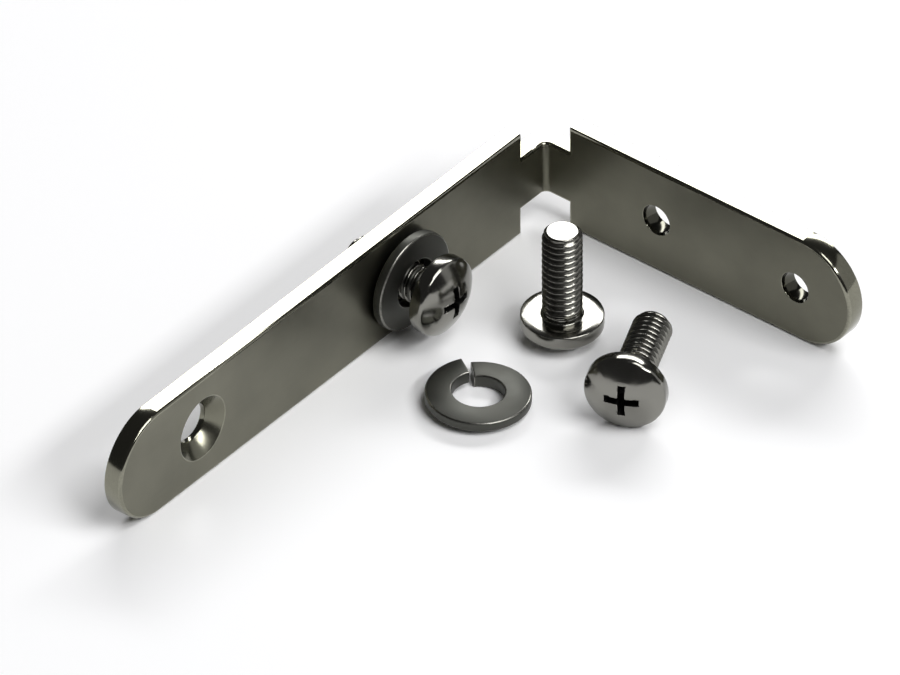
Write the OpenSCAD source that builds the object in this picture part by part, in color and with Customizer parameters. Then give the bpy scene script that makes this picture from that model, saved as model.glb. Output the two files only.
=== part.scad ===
// Corner bracket bent from flat strip, for joining a handle profile, with its screws and
// spring washers. Millimetres, +Z up. The strip stands on its long edges: the short arm runs
// along +X, the long arm along -Y, and the corner opens towards +X and -Y.

/* [Strip] */
// Width of the strip, which is its height as it stands
strip_w = 12; // [10:0.5:20]
// Thickness of the strip
strip_t = 2; // [1.6:0.1:3]
// Length of the long arm, inner corner to the tip of its round end
long_arm = 65.8; // [60:0.2:100]
// Length of the short arm, inner corner to the tip of its round end
short_arm = 37.6; // [37.6:0.2:60]
// Radius on the inside of the bend
bend_r = 0.6; // [0.4:0.1:1.5]

/* [Bend relief] */
// Depth of the notch cut into each long edge at the bend
relief_depth = 3; // [1:0.1:3.5]
// Reach of the notch along the long arm, from the inner corner
relief_long = 3.6; // [2.5:0.1:6]
// Reach of the notch along the short arm, from the inner corner
relief_short = 2.9; // [2.5:0.1:6]

/* [Long arm holes] */
// Inner corner to the first hole
long_hole_start = 22.2; // [16:0.1:26]
// Pitch of the two holes
long_hole_pitch = 30.8; // [14:0.1:34]
// Diameter of the countersink on the inner face
sink_d = 6.9; // [5:0.1:8]
// Included angle of the countersink
sink_angle = 90; // [90:5:120]

/* [Short arm holes] */
// Inner corner to the first hole
short_hole_start = 13.7; // [8:0.1:14]
// Pitch of the two holes
short_hole_pitch = 17.1; // [8:0.1:18]
// Diameter of the tapping holes
tap_d = 3.3; // [2.5:0.1:4.2]

/* [Screw] */
// Outside diameter of the thread
thread_d = 4; // [3:0.1:4.2]
// Length under the head
thread_l = 10; // [8:0.5:14]
// Chamfer on the tip
tip_chamfer = 0.45; // [0.2:0.05:0.8]
// Radial clearance of the screw in the long arm's holes
screw_play = 0.05; // [0.02:0.01:0.1]
// Diameter of the pan head
head_d = 8.2; // [7:0.1:9]
// Height of the pan head
head_h = 2.8; // [2.4:0.1:3.4]
// Rounding of the edge of the head
head_edge_r = 0.5; // [0.3:0.1:0.7]
// Radius of the crown of the head
crown_r = 6.5; // [6:0.5:12]
// Fillet under the head
neck_r = 0.15; // [0.1:0.05:0.4]

/* [Cross recess] */
// Span of the recess across the crown
recess_span = 3.5; // [2.6:0.1:4]
// Width of each slot
recess_w = 0.7; // [0.5:0.05:1]
// Depth below the crown
recess_depth = 1.5; // [1:0.1:1.8]
// Span of the recess at its floor
recess_floor = 2.4; // [1:0.1:2.5]
// Diameter of the middle of the recess at the crown
recess_hub_d = 1.1; // [1.05:0.05:1.5]

/* [Spring washer] */
// Outside diameter
washer_d = 10.4; // [8:0.1:11]
// Diameter of the hole
washer_hole_d = 5.2; // [4.8:0.1:5.8]
// Thickness of the coiled bar at its inner edge
washer_t = 1.4; // [0.9:0.1:1.5]
// Slope of each face of the bar, as the height lost at its outer edge
washer_slope = 0.2; // [0.05:0.05:0.25]
// Rise of the coil from one end of the split to the other
washer_rise = 0.6; // [0.2:0.1:0.9]
// Width of the split
split_w = 0.7; // [0.4:0.1:1.2]
// Chamfer on the long edges of the bar
washer_edge = 0.15; // [0.1:0.05:0.25]

/* [Layout] */
// Stand-off of the mounted head from the inner face of the long arm
head_gap = 4.1; // [3:0.1:7]
// Clearance between the mounted washer and the long arm
seat_gap = 0.05; // [0.02:0.01:0.3]
// Turn of the split of the mounted washer, from straight up
mounted_split = 235; // [0:5:355]
// Standing screw, distance along the short arm
standing_x = 13.15; // [12:0.05:16]
// Standing screw, distance along the long arm
standing_y = 13.85; // [8:0.05:14]
// Lying screw, middle of its head along the short arm
lying_x = 26.3; // [24:0.1:30]
// Lying screw, middle of its head along the long arm
lying_y = 20.2; // [19:0.1:26]
// Turn of the lying screw away from the long arm's direction
lying_turn = 24; // [10:1:40]
// Loose washer, distance along the short arm
loose_x = 13.5; // [13:0.1:18]
// Loose washer, distance along the long arm
loose_y = 27.3; // [26.5:0.1:34]
// Direction of the split of the loose washer, from +X
loose_split = 142; // [0:1:359]

/* [Hidden] */
$fn = 96;
// overshoot of through cuts
over = 1;
mid_z = strip_w / 2;
end_r = strip_w / 2;
head_r = head_d / 2;
thread_r = thread_d / 2;
// the rounding of the head's edge touches both its side and its crown
edge_x = head_r - head_edge_r;
edge_y = head_h - crown_r + sqrt(pow(crown_r - head_edge_r, 2) - pow(edge_x, 2));
crown_end_x = edge_x * crown_r / (crown_r - head_edge_r);
screw_hole_r = thread_r + screw_play;
sink_r = sink_d / 2;
sink_depth = (sink_r - screw_hole_r) / tan(sink_angle / 2);
bend_out_r = bend_r + strip_t;
// chord of the split as an angle at the middle of the bar
split_angle = 2 * asin(split_w / (washer_d + washer_hole_d) * 2);
coil_steps = 64;
// middle of the floor outline of all the pieces, taken as the origin
tip_x = head_gap - thread_l;
origin_x = (short_arm + tip_x) / 2;
origin_y = (strip_t - long_arm) / 2;
steel = [0.48, 0.47, 0.44];
bright_steel = [0.72, 0.72, 0.71];

// one arm lying in XZ with its inner face on y = 0, starting after the bend
module arm(reach) {
  translate([bend_r, 0, 0])
    cube([reach - end_r - bend_r, strip_t, strip_w]);
  translate([reach - end_r, strip_t, mid_z])
    rotate([90, 0, 0])
      cylinder(r = end_r, h = strip_t);
}

// quarter of a tube that turns the strip through the corner
module bend() {
  translate([bend_r, -bend_r, 0])
    intersection() {
      difference() {
        cylinder(r = bend_out_r, h = strip_w);
        translate([0, 0, -over])
          cylinder(r = bend_r, h = strip_w + 2 * over);
      }
      translate([-bend_out_r, 0, 0])
        cube([bend_out_r, bend_out_r, strip_w]);
    }
}

// notch over the bend, cut into the edge that starts at z = 0
module relief() {
  translate([-strip_t - over, -relief_long, -over])
    cube([strip_t + over + relief_short, relief_long + strip_t + over, relief_depth + over]);
}

// countersunk screw hole of the long arm, along X, with the sink on the inner face
module long_hole(at) {
  translate([0, -at, mid_z])
    rotate([0, -90, 0]) {
      translate([0, 0, -over])
        cylinder(r = screw_hole_r, h = strip_t + 2 * over);
      cylinder(r1 = sink_r, r2 = screw_hole_r, h = sink_depth);
      translate([0, 0, -over])
        cylinder(r = sink_r, h = over);
    }
}

// tapping hole of the short arm, along Y
module short_hole(at) {
  translate([at, -over, mid_z])
    rotate([-90, 0, 0])
      cylinder(d = tap_d, h = strip_t + 2 * over);
}

module bracket_body() {
  difference() {
    union() {
      arm(short_arm);
      mirror([1, 1, 0])
        arm(long_arm);
      bend();
    }
    relief();
    translate([0, 0, strip_w])
      mirror([0, 0, 1])
        relief();
    long_hole(long_hole_start);
    long_hole(long_hole_start + long_hole_pitch);
    short_hole(short_hole_start);
    short_hole(short_hole_start + short_hole_pitch);
  }
}

// half section of the pan head, crown towards +Y
module head_section() {
  square([head_r, edge_y]);
  translate([edge_x, edge_y])
    circle(r = head_edge_r);
  intersection() {
    translate([0, head_h - crown_r])
      circle(r = crown_r);
    square([crown_end_x, head_h]);
  }
}

// tapered slot of the cross recess, crown at z = 0 and floor below it
module recess_slot() {
  rotate([90, 0, 0])
    linear_extrude(height = recess_w, center = true)
      polygon([
        [-recess_span / 2, over],
        [recess_span / 2, over],
        [recess_span / 2, 0],
        [recess_floor / 2, -recess_depth],
        [-recess_floor / 2, -recess_depth],
        [-recess_span / 2, 0]
      ]);
}

// pan head screw with its head below z = 0 and its tip pointing up
module screw() {
  cylinder(r = thread_r, h = thread_l - tip_chamfer);
  translate([0, 0, thread_l - tip_chamfer])
    cylinder(r1 = thread_r, r2 = thread_r - tip_chamfer, h = tip_chamfer);
  rotate_extrude()
    difference() {
      square([thread_r + neck_r, neck_r]);
      translate([thread_r + neck_r, neck_r])
        circle(r = neck_r);
    }
  difference() {
    mirror([0, 0, 1])
      rotate_extrude()
        head_section();
    mirror([0, 0, 1])
      translate([0, 0, head_h]) {
        recess_slot();
        rotate([0, 0, 90])
          recess_slot();
        translate([0, 0, -recess_depth])
          cylinder(d1 = recess_w, d2 = recess_hub_d, h = recess_depth);
      }
  }
}

// bar of the spring washer in (radius, height): coiling thickens its inner edge, and its long
// edges are chamfered
function bar_section() = let (i = washer_hole_d / 2, o = washer_d / 2, c = washer_edge,
  t = washer_t, k = washer_slope) [
    [i + c, 0], [o - c, k], [o, k + c], [o, t - k - c], [o - c, t - k], [i + c, t], [i, t - c],
    [i, c]
  ];

// point of the coil: the bar section carried round by turn degrees and lifted
function coil_point(p, turn, lift) = [p[0] * cos(turn), p[0] * sin(turn), p[1] + lift];

// split spring washer on z = 0, one left-hand coil, split towards +X
module spring_washer() {
  bar = bar_section();
  m = len(bar);
  sweep = 360 - split_angle;
  points = [
    for (s = [0:coil_steps], p = bar)
      coil_point(p, split_angle / 2 + sweep * s / coil_steps,
        washer_rise * (1 - s / coil_steps))
  ];
  sides = [
    for (s = [0:coil_steps - 1], k = [0:m - 1])
      [s * m + k, s * m + (k + 1) % m, (s + 1) * m + (k + 1) % m, (s + 1) * m + k]
  ];
  first_end = [for (k = [m - 1:-1:0]) k];
  last_end = [for (k = [0:m - 1]) coil_steps * m + k];
  polyhedron(points = points, faces = concat(sides, [first_end, last_end]), convexity = 6);
}

// everything is placed from the inner corner and then moved to the common origin
module placed() {
  translate([-origin_x, -origin_y, 0])
    children();
}

module bracket() {
  color(steel)
    placed()
      bracket_body();
}

module mounted_screw() {
  color(bright_steel)
    placed()
      translate([head_gap, -long_hole_start, mid_z])
        rotate([0, -90, 0])
          screw();
}

module mounted_washer() {
  color(bright_steel)
    placed()
      translate([seat_gap, -long_hole_start, mid_z])
        rotate([mounted_split, 0, 0])
          rotate([0, 90, 0])
            rotate([0, 0, 180])
              spring_washer();
}

module standing_screw() {
  color(bright_steel)
    placed()
      translate([standing_x, -standing_y, head_h])
        screw();
}

module lying_screw() {
  color(bright_steel)
    placed()
      translate([lying_x, -lying_y, head_r])
        rotate([0, 0, lying_turn])
          rotate([-90, 0, 0])
            screw();
}

module loose_washer() {
  color(bright_steel)
    placed()
      translate([loose_x, -loose_y, 0])
        rotate([0, 0, loose_split])
          spring_washer();
}

bracket();
mounted_screw();
mounted_washer();
standing_screw();
lying_screw();
loose_washer();
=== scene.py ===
import math

import bmesh
import bpy
from mathutils import Matrix, Vector


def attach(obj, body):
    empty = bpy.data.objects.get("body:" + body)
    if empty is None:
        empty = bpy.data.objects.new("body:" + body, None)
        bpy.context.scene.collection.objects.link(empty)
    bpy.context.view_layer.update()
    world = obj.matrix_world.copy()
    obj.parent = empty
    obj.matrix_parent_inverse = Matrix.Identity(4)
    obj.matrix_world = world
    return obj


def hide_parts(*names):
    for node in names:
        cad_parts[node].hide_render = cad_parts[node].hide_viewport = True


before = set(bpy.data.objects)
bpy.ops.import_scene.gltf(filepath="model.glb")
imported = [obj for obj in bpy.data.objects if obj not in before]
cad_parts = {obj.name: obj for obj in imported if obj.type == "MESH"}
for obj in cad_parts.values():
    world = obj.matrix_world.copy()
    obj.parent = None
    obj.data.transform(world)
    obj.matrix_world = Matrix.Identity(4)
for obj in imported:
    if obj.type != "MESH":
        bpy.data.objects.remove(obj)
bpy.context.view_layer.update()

# Bracket: one blank punched from 12 x 2 mm steel strip, with rounded ends, a notch in both
# long edges and four holes, then bent once through a right angle over a small radius.
# All sizes are in millimetres from the inner corner of the bend; the row frame is in metres.
MM = 0.001
corner = Vector((-15.85, 31.9, 0.0))
strip_width, strip_thick = 12.0, 2.0
long_arm, short_arm = 65.8, 37.6
bend_inside, bend_angle, bend_cuts = 0.6, math.radians(90), 12
notch_depth, notch_long, notch_short = 3.0, 3.6, 2.9
screw_holes, screw_hole_radius = (22.2, 53.0), 2.05
sink_radius, sink_angle = 3.45, math.radians(90)
tap_holes, tap_radius = (13.7, 30.8), 1.65
die_roll, burr_break, rim_break = 0.3, 0.08, 0.07
end_steps, hole_steps, edge_steps, rim_steps = 24, 64, 3, 2
# points closer than same_place are one, and hole_margin takes in the points of a hole's rim
same_place, hole_margin = 0.001, 0.1
quarter_turn = math.radians(90)
middle, half_thick = strip_width / 2, strip_thick / 2
bend_length = bend_angle * (bend_inside + half_thick)


def along_long(distance):
    # place on the flat blank of a distance along the long arm
    return bend_inside - distance


def along_short(distance):
    return bend_length + distance - bend_inside


def outline_corners():
    left, right = along_long(long_arm), along_short(short_arm)
    notch_left, notch_right = along_long(notch_long), along_short(notch_short)
    lower = [(left, 0), (notch_left, 0), (notch_left, notch_depth),
             (notch_right, notch_depth), (notch_right, 0), (right, 0)]
    return lower + [(s, strip_width - z) for s, z in reversed(lower)]


blank = bmesh.new()
corners = [blank.verts.new((s, 0, z)) for s, z in outline_corners()]
blank.faces.new(corners)
round_ends = [corners[i] for i in (0, 5, 6, 11)]
bmesh.ops.bevel(blank, geom=round_ends, offset=middle, affect="VERTICES", segments=end_steps,
                profile=0.5, material=-1)
bmesh.ops.remove_doubles(blank, verts=blank.verts, dist=same_place)
bmesh.ops.delete(blank, geom=blank.faces[:], context="FACES_ONLY")
hole_places = [(along_long(at), sink_radius) for at in screw_holes]
hole_places += [(along_short(at), tap_radius) for at in tap_holes]
for place, radius in hole_places:
    turn = Matrix.Translation((place, 0, middle)) @ Matrix.Rotation(quarter_turn, 4, "X")
    bmesh.ops.create_circle(blank, segments=hole_steps, radius=radius, matrix=turn)
bmesh.ops.triangle_fill(blank, edges=blank.edges[:], use_beauty=True, use_dissolve=False,
                        normal=(0, -1, 0))
made = bmesh.ops.extrude_face_region(blank, geom=blank.faces[:])["geom"]
bmesh.ops.translate(blank, vec=(0, strip_thick, 0),
                    verts=[v for v in made if isinstance(v, bmesh.types.BMVert)])


def near_hole(verts, place, reach):
    return [v for v in verts if math.hypot(v.co.x - place, v.co.z - middle) < reach]


# the screw holes are drawn in from their mouth to a cone and a short straight throat
sink_depth = (sink_radius - screw_hole_radius) / math.tan(sink_angle / 2)
for at in screw_holes:
    place = along_long(at)
    centre = Matrix.Translation((-place, 0, -middle))
    around = near_hole(blank.verts, place, sink_radius + hole_margin)
    back = [v for v in around if v.co.y > half_thick]
    front = [v for v in around if v.co.y < half_thick]
    shrink = screw_hole_radius / sink_radius
    bmesh.ops.scale(blank, vec=(shrink, 1, shrink), space=centre, verts=back)
    walls = [e for v in back for e in v.link_edges if e.other_vert(v) in front]
    made = bmesh.ops.subdivide_edges(blank, edges=walls, cuts=1)
    throat = [v for v in made["geom_inner"] if isinstance(v, bmesh.types.BMVert)]
    for v in throat:
        v.co.y = sink_depth
    shrink = screw_hole_radius / ((sink_radius + screw_hole_radius) / 2)
    bmesh.ops.scale(blank, vec=(shrink, 1, shrink), space=centre, verts=throat)
bmesh.ops.recalc_face_normals(blank, faces=blank.faces[:])
flat_normal, cone_normal, wall_normal = 0.9999, 0.95, 0.1
for face in blank.faces:
    # the two broad faces and the straight edges are flat, the rest is round
    face.smooth = max(abs(c) for c in face.normal) < flat_normal

# wear: tumbling rubs the cut walls bright and the turned cones a little less
worn = blank.faces.layers.float.new("worn_edge")
# the second layer marks where painted shade goes
shade_mask = blank.faces.layers.float.new("painted_shade")
tumbled, turned, bore_shade = 0.5, 0.25, 0.7
for face in blank.faces:
    if abs(face.normal.y) < wall_normal:
        face[worn] = tumbled
    elif abs(face.normal.y) < cone_normal:
        face[worn] = turned
# the walls of the two small tapped holes get a near-black colour: painted shade
for place, radius in hole_places[len(screw_holes):]:
    for face in blank.faces:
        if face[worn] == tumbled and near_hole(face.verts, place, radius + hole_margin):
            face[shade_mask] = bore_shade

# the punch rolls the edges of the inner side over and leaves the other side sharper
sharp_angle = math.radians(25)
hard = [e for e in blank.edges if e.calc_face_angle() > sharp_angle]
rims = [e for e in hard if any(near_hole(e.verts, place, radius + hole_margin)
                               for place, radius in hole_places)]
outer_edges = set(hard) - set(rims)
inner_side = [e for e in outer_edges if all(v.co.y < half_thick for v in e.verts)]
other_side = list(outer_edges - set(inner_side))
made = bmesh.ops.bevel(blank, geom=rims, offset=rim_break, affect="EDGES", segments=rim_steps,
                       profile=0.5, material=-1)
for face in made["faces"]:
    face[worn], face[shade_mask], face.smooth = 1.0, 0.0, True
for edges, size in ((inner_side, die_roll), (other_side, burr_break)):
    made = bmesh.ops.bevel(blank, geom=[e for e in edges if e.is_valid], offset=size,
                           affect="EDGES", segments=edge_steps, profile=0.5, material=-1)
    for face in made["faces"]:
        face[worn], face.smooth = 1.0, True
for i in range(bend_cuts + 1):
    bmesh.ops.bisect_plane(blank, geom=blank.verts[:] + blank.edges[:] + blank.faces[:],
                           plane_co=(bend_length * i / bend_cuts, 0, 0), plane_no=(1, 0, 0))

# the flat place of each point is kept for the rolling grain before the blank is bent
flat_place = blank.verts.layers.float_vector.new("strip_place")
edge_normal = 0.9
for face in blank.faces:
    # all of the bend is round but its two long edges
    if 0 < face.calc_center_median().x < bend_length and abs(face.normal.z) < edge_normal:
        face.smooth = True
for v in blank.verts:
    s, n, z = v.co
    v[flat_place] = v.co
    if s < 0:
        bent = Vector((-n, s - bend_inside, z))
    elif s < bend_length:
        turn = bend_angle * s / bend_length
        reach = bend_inside + n
        bent = Vector((bend_inside - reach * math.cos(turn),
                       reach * math.sin(turn) - bend_inside, z))
    else:
        bent = Vector((bend_inside + s - bend_length, n, z))
    v.co = (bent + corner) * MM


def shown(name, mesh_of, material, node):
    mesh = bpy.data.meshes.new(name)
    mesh_of.to_mesh(mesh)
    mesh_of.free()
    piece = bpy.data.objects.new(name, mesh)
    bpy.context.scene.collection.objects.link(piece)
    mesh.materials.append(material)
    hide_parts(node)
    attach(piece, node)


def linear(hex_colour):
    parts = [int(hex_colour[i:i + 2], 16) / 255 for i in (1, 3, 5)]
    return tuple(p / 12.92 if p <= 0.04045 else ((p + 0.055) / 1.055) ** 2.4
                 for p in parts) + (1.0,)


def add(tree, kind, settings=None, links=None):
    node = tree.nodes.new(kind)
    for key, value in (settings or {}).items():
        if isinstance(key, str) and hasattr(node, key):
            setattr(node, key, value)
        else:
            node.inputs[key].default_value = value
    for key, socket in (links or {}).items():
        tree.links.new(socket, node.inputs[key])
    return node


def new_material(name):
    material = bpy.data.materials.new(name)
    material.use_nodes = True
    tree = material.node_tree
    return material, tree, tree.nodes["Principled BSDF"]


# Cold-rolled steel strip, tumbled and dull nickel plated: a dark warm grey metal with a fine
# rolling grain, drawn coarser than it is so that it shows, slow cloudy patches from the bath,
# brighter rubbed edges and dark painted shade on the walls of the tapped holes.
dull_plate, tree, skin = new_material("dull_nickel_on_rolled_strip")
grain_gap, grain_run, grain_height, cloud_size = 0.16, 9.0, 0.004, 7.0
# the near-black colour here is painted shade, used in the tapped holes, the recess and the
# thread roots
rubbed_roughness, shade_colour = 0.13, "#1c1c1b"
place = add(tree, "ShaderNodeAttribute", {"attribute_name": "strip_place"})
stretch = add(tree, "ShaderNodeMapping",
              {"Scale": (1 / grain_run, 1 / grain_gap, 1 / grain_gap)},
              {"Vector": place.outputs["Vector"]})
grain = add(tree, "ShaderNodeTexNoise", {"Scale": 1.0, "Detail": 3.0, "Roughness": 0.6},
            {"Vector": stretch.outputs["Vector"]})
clouds = add(tree, "ShaderNodeTexNoise", {"Scale": 1 / cloud_size, "Detail": 4.0},
             {"Vector": place.outputs["Vector"]})
patches = add(tree, "ShaderNodeMapRange", {"From Min": 0.3, "From Max": 0.7},
              {"Value": clouds.outputs["Fac"]})
tone = add(tree, "ShaderNodeMix",
           {"data_type": "RGBA", 6: linear("#6c6b5f"), 7: linear("#777669")},
           {0: patches.outputs["Result"]})
edge = add(tree, "ShaderNodeAttribute", {"attribute_name": "worn_edge"})
rub = add(tree, "ShaderNodeMath", {"operation": "MULTIPLY"},
          {0: edge.outputs["Fac"], 1: grain.outputs["Fac"]})
rubbed = add(tree, "ShaderNodeMix", {"data_type": "RGBA", 7: linear("#9d9c8e")},
             {0: rub.outputs["Value"], 6: tone.outputs[2]})
# painted shade: the marked hole walls are mixed toward near-black
shade_mark = add(tree, "ShaderNodeAttribute", {"attribute_name": "painted_shade"})
shaded = add(tree, "ShaderNodeMix", {"data_type": "RGBA", 7: linear(shade_colour)},
            {0: shade_mark.outputs["Fac"], 6: rubbed.outputs[2]})
gloss = add(tree, "ShaderNodeMapRange", {"From Min": 0.25, "From Max": 0.75,
                                         "To Min": 0.3, "To Max": 0.38},
            {"Value": grain.outputs["Fac"]})
shine = add(tree, "ShaderNodeMath", {"operation": "MULTIPLY", "use_clamp": True, 1: 1 / tumbled},
            {0: edge.outputs["Fac"]})
polish = add(tree, "ShaderNodeMix", {3: rubbed_roughness},
             {0: shine.outputs["Value"], 2: gloss.outputs["Result"]})
scratch = add(tree, "ShaderNodeBump", {"Strength": 0.12, "Distance": grain_height * MM},
              {"Height": grain.outputs["Fac"]})
skin.inputs["Metallic"].default_value = 1.0
tree.links.new(shaded.outputs[2], skin.inputs["Base Color"])
tree.links.new(polish.outputs[0], skin.inputs["Roughness"])
tree.links.new(scratch.outputs["Normal"], skin.inputs["Normal"])

shown("bent_strip", blank, dull_plate, "bracket")

# Spring washers: square-edged bar of hardened steel coiled one turn and cut, so that its two
# ends stand apart in height. One sits against the long arm under the mounted screw's head,
# the other lies loose.
bar_inside, bar_outside, bar_thick, bar_taper = 2.6, 5.2, 1.4, 0.2
coil_rise, split_width = 0.6, 0.7
bar_edge, cut_break = 0.18, 0.06
bar_edge_steps, cut_steps, coil_steps = 4, 2, 96
side_normal, cut_angle, edge_wear = 0.97, math.radians(60), 0.7
split_turn = 2 * math.asin(split_width / (bar_inside + bar_outside))


def spring_washer(placing):
    coil = bmesh.new()
    section = [coil.verts.new(p) for p in ((bar_inside, 0, 0), (bar_outside, 0, bar_taper),
                                           (bar_outside, 0, bar_thick - bar_taper),
                                           (bar_inside, 0, bar_thick))]
    coil.faces.new(section)
    bmesh.ops.bevel(coil, geom=section, offset=bar_edge, affect="VERTICES",
                    segments=bar_edge_steps, profile=0.5, material=-1)
    bmesh.ops.delete(coil, geom=coil.faces[:], context="FACES_ONLY")
    bmesh.ops.rotate(coil, verts=coil.verts, cent=(0, 0, 0),
                     matrix=Matrix.Rotation(split_turn / 2, 3, "Z"))
    bmesh.ops.translate(coil, verts=coil.verts, vec=(0, 0, coil_rise))
    bmesh.ops.spin(coil, geom=coil.verts[:] + coil.edges[:], cent=(0, 0, 0), axis=(0, 0, 1),
                   dvec=(0, 0, -coil_rise / coil_steps), angle=2 * math.pi - split_turn,
                   steps=coil_steps)
    bmesh.ops.holes_fill(coil, edges=[e for e in coil.edges if e.is_boundary], sides=0)
    bmesh.ops.recalc_face_normals(coil, faces=coil.faces[:])
    for face in coil.faces:
        face.smooth = len(face.verts) == 4
    ends = [e for e in coil.edges if e.calc_face_angle() > cut_angle]
    # the rounded edges of the bar are rubbed, and the two cuts more so
    worn = coil.faces.layers.float.new("worn_edge")
    for face in coil.faces:
        outward = face.normal.xy.dot(face.calc_center_median().xy.normalized())
        if face.smooth and max(abs(outward), abs(face.normal.z)) < side_normal:
            face[worn] = edge_wear
    made = bmesh.ops.bevel(coil, geom=ends, offset=cut_break, affect="EDGES",
                           segments=cut_steps, profile=0.5, material=-1)
    for face in made["faces"]:
        face[worn] = 1.0
    bmesh.ops.transform(coil, matrix=Matrix.Scale(MM, 4) @ Matrix.Translation(corner) @ placing,
                        verts=coil.verts)
    return coil


# Oiled spring steel: hardened, so its scale has left it darker and duller than the screws,
# with a fine grain, drawn coarser than it is so that it shows, oil stains a few millimetres
# wide and brighter rubbed edges.
spring_steel, tree, skin = new_material("oiled_spring_steel")
scale_size, scale_height, stain_size = 0.3, 0.004, 3.5
rubbed_roughness = 0.2
place = add(tree, "ShaderNodeTexCoord")
scale = add(tree, "ShaderNodeTexNoise", {"Scale": 1 / (scale_size * MM), "Detail": 3.0},
            {"Vector": place.outputs["Object"]})
stains = add(tree, "ShaderNodeTexNoise", {"Scale": 1 / (stain_size * MM), "Detail": 3.0},
             {"Vector": place.outputs["Object"]})
tone = add(tree, "ShaderNodeMix",
           {"data_type": "RGBA", 6: linear("#4c4d49"), 7: linear("#585853")},
           {0: stains.outputs["Fac"]})
edge = add(tree, "ShaderNodeAttribute", {"attribute_name": "worn_edge"})
rub = add(tree, "ShaderNodeMath", {"operation": "MULTIPLY"},
          {0: edge.outputs["Fac"], 1: scale.outputs["Fac"]})
rubbed = add(tree, "ShaderNodeMix", {"data_type": "RGBA", 7: linear("#b5b3ac")},
             {0: rub.outputs["Value"], 6: tone.outputs[2]})
gloss = add(tree, "ShaderNodeMapRange", {"From Min": 0.3, "From Max": 0.7,
                                         "To Min": 0.42, "To Max": 0.52},
            {"Value": stains.outputs["Fac"]})
polish = add(tree, "ShaderNodeMix", {3: rubbed_roughness},
             {0: edge.outputs["Fac"], 2: gloss.outputs["Result"]})
pits = add(tree, "ShaderNodeBump", {"Strength": 0.1, "Distance": scale_height * MM},
           {"Height": scale.outputs["Fac"]})
skin.inputs["Metallic"].default_value = 1.0
tree.links.new(rubbed.outputs[2], skin.inputs["Base Color"])
tree.links.new(polish.outputs[0], skin.inputs["Roughness"])
tree.links.new(pits.outputs["Normal"], skin.inputs["Normal"])

seat_gap, split_on_arm = 0.05, math.radians(235)
loose_washer_place, split_on_table = (13.5, -27.3, 0), math.radians(142)
on_arm = (Matrix.Translation((seat_gap, -screw_holes[0], middle))
          @ Matrix.Rotation(split_on_arm, 4, "X")
          @ Matrix.Rotation(quarter_turn, 4, "Y") @ Matrix.Rotation(2 * quarter_turn, 4, "Z"))
shown("washer_on_arm", spring_washer(on_arm), spring_steel, "mounted_washer")
on_table = Matrix.Translation(loose_washer_place) @ Matrix.Rotation(split_on_table, 4, "Z")
shown("washer_on_table", spring_washer(on_table), spring_steel, "loose_washer")

# Screws: cold-headed steel with a pan head, a punched cross recess and a rolled right-hand
# thread. One is in the long arm, one stands on its head and one lies level on the rim of
# its head.
head_radius, head_height, shank_radius, shank_length = 4.1, 2.8, 2.0, 10.0
crown_radius, head_round, neck_round, tip_chamfer = 6.5, 0.5, 0.15, 0.45
seat_break, seat_bevel, tip_break = 0.12, 0.035, 0.06
wing_reach, wing_half, hub_radius = 1.75, 0.35, 0.55
floor_reach, recess_depth, recess_point, mouth_break = 1.2, 1.5, 0.25, 0.05
thread_pitch, thread_depth, thread_start, rings_per_pitch = 0.7, 0.38, 0.5, 8
crest_half, flank_run = thread_pitch / 16, thread_pitch * 5 / 16
# rings of points that carry the surface: their radii, turns in degrees or shares of the way
crown_shares, crown_radii = (0.15, 0.4, 0.7), (2.2, 2.6, 3.0, 3.4, 3.7)
head_turns, neck_turns = (53, 40, 27, 13, 0), (0, 30, 60, 90)
seat_ring, tip_ring, ring_gap = 3.2, 0.6, 0.02
wing_cuts, hub_cuts, wing_end_cuts, mouth_steps = 5, 7, 3, 2


def crown_height(radius):
    return crown_radius - math.sqrt(crown_radius ** 2 - radius ** 2) - head_height


def screw_rings():
    # radius and height of each ring from the crown round the head and up to the tip
    rings = [(r, crown_height(r)) for r in crown_radii]
    # the rounded edge of the head touches both its crown and its side
    round_x = head_radius - head_round
    round_z = crown_radius - head_height
    round_z -= math.sqrt((crown_radius - head_round) ** 2 - round_x ** 2)
    for degrees in head_turns:
        t = math.radians(degrees)
        rings.append((round_x + head_round * math.cos(t), round_z - head_round * math.sin(t)))
    rings += [(head_radius, -seat_break), (head_radius - seat_bevel, -seat_bevel),
              (head_radius - seat_break, 0)]
    rings += [(seat_ring, 0), (shank_radius + neck_round + ring_gap, 0)]
    for degrees in neck_turns:
        t = math.radians(degrees)
        rings.append((shank_radius + neck_round - neck_round * math.sin(t),
                      neck_round - neck_round * math.cos(t)))
    # a ring without a radius follows the thread
    last = shank_length - ring_gap
    count = round((last - thread_start) / thread_pitch * rings_per_pitch)
    step = (last - thread_start) / count
    rings += [(None, thread_start + step * i) for i in range(count + 1)]
    rings += [(shank_radius - tip_chamfer - tip_break, shank_length), (tip_ring, shank_length)]
    return rings


def thread_radius(height, turn):
    # right-hand rolled thread with flat crests and roots, fading in at the neck and cut off
    # by the chamfer at the tip
    phase = (height / thread_pitch - turn / (2 * math.pi)) % 1
    from_crest = abs(phase - 0.5) * thread_pitch
    share = (from_crest - crest_half) / flank_run
    fade = min((height - thread_start) / thread_pitch, 1)
    radius = shank_radius - thread_depth * min(max(share, 0), 1) * fade
    return min(radius, shank_radius - tip_chamfer + shank_length - height)


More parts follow.
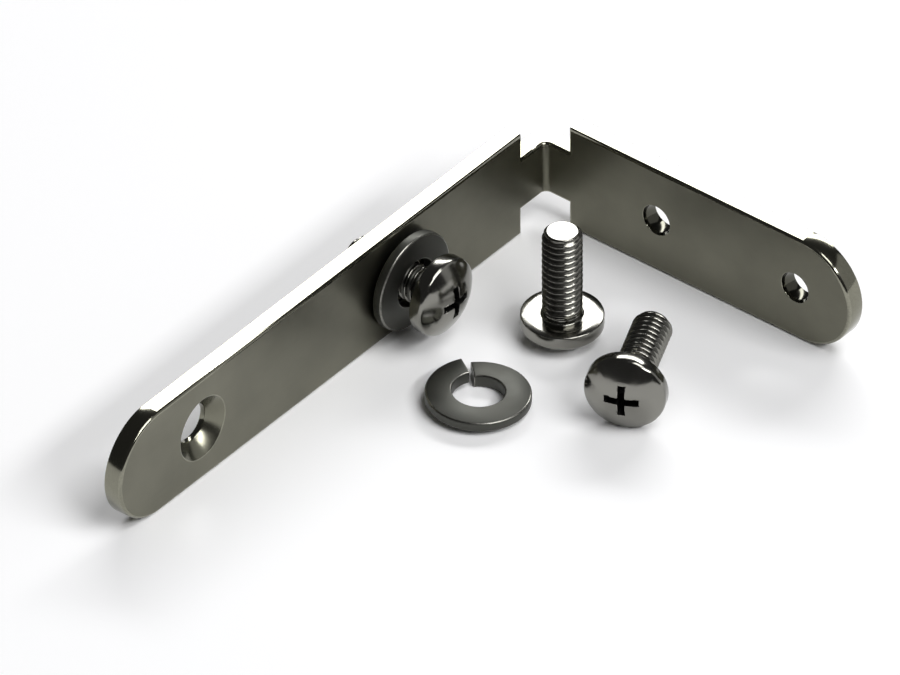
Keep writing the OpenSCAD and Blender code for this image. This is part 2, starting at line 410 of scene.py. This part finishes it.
def pan_head_screw(placing):
    body = bmesh.new()
    hub_side = math.sqrt(hub_radius ** 2 - wing_half ** 2)
    quarter = [(wing_reach, wing_half), (hub_side, wing_half), (wing_half, hub_side),
               (wing_half, wing_reach)]
    outline = []
    for i in range(4):
        turn = Matrix.Rotation(quarter_turn * i, 2)
        outline += [body.verts.new((*(turn @ Vector(p)), 0)) for p in quarter]
    sides = [body.edges.new(pair) for pair in zip(outline, outline[1:] + outline[:1])]
    bmesh.ops.subdivide_edges(body, edges=sides[0::4] + sides[2::4], cuts=wing_cuts)
    bmesh.ops.subdivide_edges(body, edges=sides[1::4], cuts=hub_cuts)
    bmesh.ops.subdivide_edges(body, edges=sides[3::4], cuts=wing_end_cuts)
    for v in body.verts:
        if v.co.xy.length < hub_radius:
            v.co.xy = v.co.xy.normalized() * hub_radius
        v.co.z = crown_height(v.co.xy.length)
    mouth = body.edges[:]
    # recess: the mouth is drawn down to a smaller cross and closed with a blunt point
    made = bmesh.ops.extrude_edge_only(body, edges=mouth)["geom"]
    taper = (floor_reach - wing_half) / (wing_reach - wing_half)
    for v in made:
        if isinstance(v, bmesh.types.BMVert):
            for axis in (0, 1):
                spare = abs(v.co[axis]) - wing_half
                if spare > 0:
                    v.co[axis] = math.copysign(wing_half + spare * taper, v.co[axis])
            v.co.z = recess_depth - head_height
    floor_edges = [e for e in made if isinstance(e, bmesh.types.BMEdge)]
    floor = bmesh.ops.contextual_create(body, geom=floor_edges)["faces"]
    point = bmesh.ops.poke(body, faces=floor)["verts"]
    for v in point:
        v.co.z += recess_point
    # head and shank: the mouth is drawn out to a circle and carried from ring to ring
    loop = mouth
    spread = [(share, None) for share in crown_shares] + [(1, ring) for ring in screw_rings()]
    for share, ring in spread:
        made = bmesh.ops.extrude_edge_only(body, edges=loop)["geom"]
        loop = [e for e in made if isinstance(e, bmesh.types.BMEdge)]
        for v in made:
            if isinstance(v, bmesh.types.BMVert):
                out = v.co.xy.normalized()
                if ring is None:
                    radius = v.co.xy.length
                    radius += (crown_radii[0] - radius) * share
                    height = crown_height(radius)
                else:
                    radius, height = ring
                    if radius is None:
                        radius = thread_radius(height, math.atan2(out.y, out.x))
                v.co = (*(out * radius), height)
    bmesh.ops.contextual_create(body, geom=loop)
    bmesh.ops.recalc_face_normals(body, faces=body.faces[:])
    for face in body.faces:
        # only the end of the shank is flat
        face.smooth = face.calc_center_median().z < shank_length - same_place
    # the recess and, more thinly, the roots of the thread are painted dark: painted shade
    recess_shade, root_shade, mouth_margin, recess_top = 1.0, 0.6, 0.05, -0.5
    shade_mask = body.faces.layers.float.new("painted_shade")
    for face in body.faces:
        place = face.calc_center_median()
        radius = place.xy.length
        if radius < wing_reach and crown_height(radius) + mouth_margin < place.z < recess_top:
            face[shade_mask] = recess_shade
        elif (thread_start < place.z < shank_length - tip_chamfer
              and radius < shank_radius - thread_depth / 2):
            face[shade_mask] = root_shade
    worn = body.faces.layers.float.new("worn_edge")
    made = bmesh.ops.bevel(body, geom=[e for e in mouth if e.is_valid], offset=mouth_break,
                           affect="EDGES", segments=mouth_steps, profile=0.5, material=-1)
    for face in made["faces"]:
        face[worn] = 1.0
    bmesh.ops.transform(body, matrix=Matrix.Scale(MM, 4) @ Matrix.Translation(corner) @ placing,
                        verts=body.verts)
    return body


# Bright nickel plate on steel, barrel plated: glossy with fine tumbling scratches in every
# direction, drawn coarser than they are so that they show, a slightly duller bloom in patches
# and dark, duller painted shade in the recess and the roots of the thread.
bright_plate, tree, skin = new_material("bright_nickel_on_steel")
scratch_size, scratch_height, bloom_size = 0.25, 0.003, 3.0
shaded_roughness = 0.5
place = add(tree, "ShaderNodeTexCoord")
scuffs = add(tree, "ShaderNodeTexNoise", {"Scale": 1 / (scratch_size * MM), "Detail": 2.0},
             {"Vector": place.outputs["Object"]})
bloom = add(tree, "ShaderNodeTexNoise", {"Scale": 1 / (bloom_size * MM), "Detail": 3.0},
            {"Vector": place.outputs["Object"]})
tone = add(tree, "ShaderNodeMix",
           {"data_type": "RGBA", 6: linear("#7c7b75"), 7: linear("#8a8983")},
           {0: bloom.outputs["Fac"]})
edge = add(tree, "ShaderNodeAttribute", {"attribute_name": "worn_edge"})
rub = add(tree, "ShaderNodeMath", {"operation": "MULTIPLY"},
          {0: edge.outputs["Fac"], 1: scuffs.outputs["Fac"]})
rubbed = add(tree, "ShaderNodeMix", {"data_type": "RGBA", 7: linear("#b5b3ac")},
             {0: rub.outputs["Value"], 6: tone.outputs[2]})
gloss = add(tree, "ShaderNodeMapRange", {"From Min": 0.3, "From Max": 0.7,
                                         "To Min": 0.1, "To Max": 0.2},
            {"Value": bloom.outputs["Fac"]})
# painted shade: the recess and thread roots are mixed toward near-black and made duller
shade_mark = add(tree, "ShaderNodeAttribute", {"attribute_name": "painted_shade"})
shaded = add(tree, "ShaderNodeMix", {"data_type": "RGBA", 7: linear(shade_colour)},
            {0: shade_mark.outputs["Fac"], 6: rubbed.outputs[2]})
dulled = add(tree, "ShaderNodeMix", {3: shaded_roughness},
             {0: shade_mark.outputs["Fac"], 2: gloss.outputs["Result"]})
scratch = add(tree, "ShaderNodeBump", {"Strength": 0.08, "Distance": scratch_height * MM},
              {"Height": scuffs.outputs["Fac"]})
skin.inputs["Metallic"].default_value = 1.0
tree.links.new(shaded.outputs[2], skin.inputs["Base Color"])
tree.links.new(dulled.outputs[0], skin.inputs["Roughness"])
tree.links.new(scratch.outputs["Normal"], skin.inputs["Normal"])

head_gap, lying_turn = 4.1, math.radians(24)
standing_place, lying_place = (13.15, -13.85, head_height), (26.3, -20.2, head_radius)
in_arm = (Matrix.Translation((head_gap, -screw_holes[0], middle))
          @ Matrix.Rotation(-quarter_turn, 4, "Y"))
shown("screw_in_arm", pan_head_screw(in_arm), bright_plate, "mounted_screw")
standing = Matrix.Translation(standing_place)
shown("screw_standing", pan_head_screw(standing), bright_plate, "standing_screw")
lying = (Matrix.Translation(lying_place) @ Matrix.Rotation(lying_turn, 4, "Z")
         @ Matrix.Rotation(-quarter_turn, 4, "X"))
shown("screw_lying", pan_head_screw(lying), bright_plate, "lying_screw")

# Floor: a wide sheet of white paper that everything stands on, matt, so it only takes shadow.
# It lies a hair below the pieces. From here on, lengths are in metres.
paper_half, paper_drop = 3.0, 0.00001
paper = bmesh.new()
bmesh.ops.create_grid(paper, x_segments=1, y_segments=1, size=paper_half)
sheet = bpy.data.meshes.new("paper_floor")
paper.to_mesh(sheet)
paper.free()
paper_floor = bpy.data.objects.new("paper_floor", sheet)
bpy.context.scene.collection.objects.link(paper_floor)
paper_floor.location.z = -paper_drop
white_paper, tree, skin = new_material("white_paper")
skin.inputs["Base Color"].default_value = linear("#fdfdfe")
skin.inputs["Roughness"].default_value = 1.0
skin.inputs["Specular IOR Level"].default_value = 0.0
sheet.materials.append(white_paper)

# Camera: a level parallel view from the open side of the corner, as in the photograph.
view_width, camera_far = 0.08687, 0.5
aim = Vector((-0.01102, 0.0111, 0.0))
back = Vector((0.4940, -0.6199, 0.6098)).normalized()
camera_data = bpy.data.cameras.new("camera")
camera_data.type = "ORTHO"
camera_data.ortho_scale = view_width
camera_data.clip_start, camera_data.clip_end = 0.01, 10
camera = bpy.data.objects.new("camera", camera_data)
camera.location = aim + back * camera_far
camera.rotation_mode = "QUATERNION"
camera.rotation_quaternion = (-back).to_track_quat("-Z", "Y")
bpy.context.scene.collection.objects.link(camera)
bpy.context.scene.camera = camera

# Studio light: a wide low softbox behind the object, which the upward edges mirror, a strip at
# the right that casts the shadow behind the long arm, a high one above it, a dim panel beside
# the short arm and an even, darker room.
lamp_distance, room_level = 1.2, 0.05
right = Vector((0.782, 0.623, 0))
away = Vector((-0.623, 0.782, 0))


def softbox(name, aside, elevation, size, power):
    # aside and elevation are in degrees, aside from straight away to the camera's right
    lamp_data = bpy.data.lights.new(name, "AREA")
    lamp_data.shape = "RECTANGLE"
    lamp_data.size, lamp_data.size_y = size
    lamp_data.energy = power
    lamp = bpy.data.objects.new(name, lamp_data)
    swing, rise = math.radians(aside), math.radians(elevation)
    flat = (away * math.cos(swing) + right * math.sin(swing)).normalized()
    lamp.location = (flat * math.cos(rise) + Vector((0, 0, math.sin(rise)))) * lamp_distance
    lamp.rotation_mode = "QUATERNION"
    lamp.rotation_quaternion = lamp.location.to_track_quat("Z", "Y")
    bpy.context.scene.collection.objects.link(lamp)


softbox("back_softbox", aside=14, elevation=36.5, size=(1.0, 0.22), power=8.4)
softbox("right_softbox", aside=128, elevation=42.5, size=(0.9, 0.16), power=6.6)
softbox("high_softbox", aside=122, elevation=66, size=(0.7, 0.5), power=6.1)
softbox("side_panel", aside=84, elevation=20, size=(0.9, 0.9), power=1.2)
room = bpy.data.worlds.new("room")
room.use_nodes = True
room.node_tree.nodes["Background"].inputs["Color"].default_value = linear("#ffffff")
room.node_tree.nodes["Background"].inputs["Strength"].default_value = room_level
bpy.context.scene.world = room
bpy.context.scene.view_settings.view_transform = "Standard"
